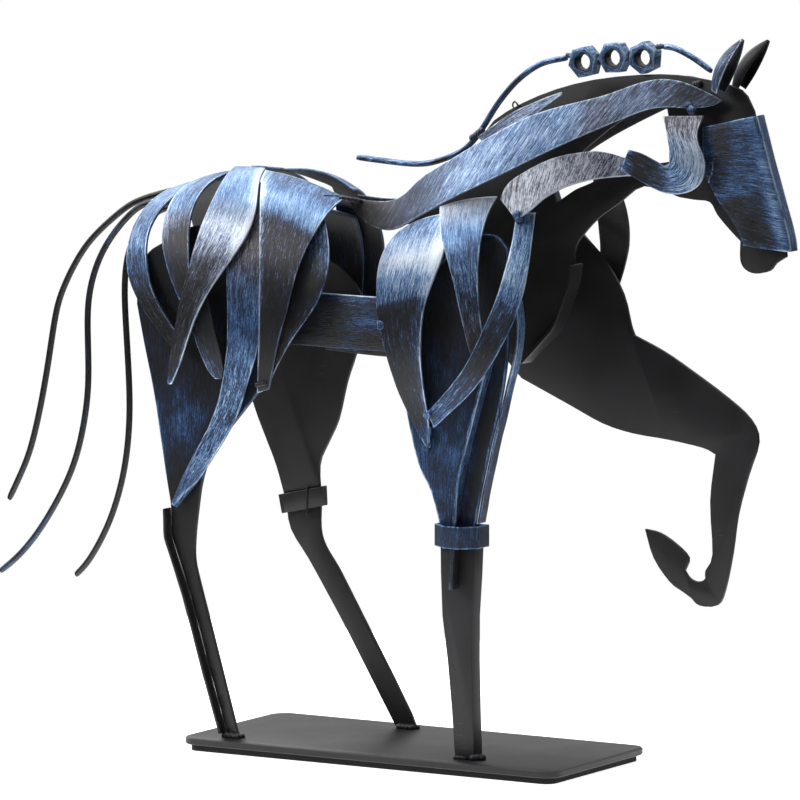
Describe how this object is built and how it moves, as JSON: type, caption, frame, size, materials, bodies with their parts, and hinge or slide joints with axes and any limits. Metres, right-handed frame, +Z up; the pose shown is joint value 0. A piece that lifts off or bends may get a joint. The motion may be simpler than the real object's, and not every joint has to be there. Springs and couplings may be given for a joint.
{
  "type": "metal horse statue",
  "caption": "Walking horse statue of cut and bent steel straps, open between them, with wire mane and tail, standing on a flat steel base with a foam pad.",
  "frame": {"origin": "centre of the base's underside", "axes": "+X along the base towards the horse's nose, +Y to the horse's left, +Z up"},
  "size_m": [0.3249, 0.0749, 0.2594],
  "materials": {
    "black_coat": "satin black powder coat",
    "brushed_blue": "satin black with metallic blue brushed on, paler along the edges",
    "foam_pad": "matt black foam rubber"
  },
  "bodies": {
    "root": {"base_plate": "black_coat", "chest_strap": "black_coat", "left_ear": "black_coat", "left_hind_cuff": "black_coat", "left_hind_shin": "black_coat", "left_neck_strap": "black_coat", "left_raised_foreleg": "black_coat", "left_thigh_plate": "black_coat", "neck_and_head_plate": "black_coat", "right_fore_shin": "black_coat", "right_hind_leg": "black_coat", "right_hind_shin_strip": "black_coat", "tail_wire_1": "black_coat", "tail_wire_2": "black_coat", "tail_wire_3": "black_coat", "face_mask": "brushed_blue", "front_mane_wire": "brushed_blue", "left_belly_strap": "brushed_blue", "left_cheek_strap": "brushed_blue", "left_crest_strap": "brushed_blue", "left_rump_strap_1": "brushed_blue", "left_rump_strap_2": "brushed_blue", "left_rump_strap_3": "brushed_blue", "left_rump_strap_4": "brushed_blue", "left_rump_strap_5": "brushed_blue", "left_rump_strap_6": "brushed_blue", "left_shoulder_strap_1": "brushed_blue", "left_shoulder_strap_2": "brushed_blue", "lower_neck_strap": "brushed_blue", "mane_nut_1": "brushed_blue", "mane_nut_2": "brushed_blue", "mane_nut_3": "brushed_blue", "rear_mane_wire": "brushed_blue", "right_belly_strap": "brushed_blue", "right_cheek_strap": "brushed_blue", "right_crest_strap": "brushed_blue", "right_ear": "brushed_blue", "right_fore_cuff": "brushed_blue", "right_foreleg_front_strip": "brushed_blue", "right_foreleg_rib": "brushed_blue", "right_rump_strap_1": "brushed_blue", "right_rump_strap_2": "brushed_blue", "right_rump_strap_3": "brushed_blue", "right_rump_strap_4": "brushed_blue", "right_rump_strap_5": "brushed_blue", "right_rump_strap_6": "brushed_blue", "right_rump_strap_7": "brushed_blue", "right_shoulder_plate": "brushed_blue", "right_shoulder_strap_1": "brushed_blue", "right_shoulder_strap_2": "brushed_blue", "right_shoulder_strap_3": "brushed_blue", "withers_strap": "brushed_blue", "base_pad": "foam_pad"}
  },
  "joints": []
}
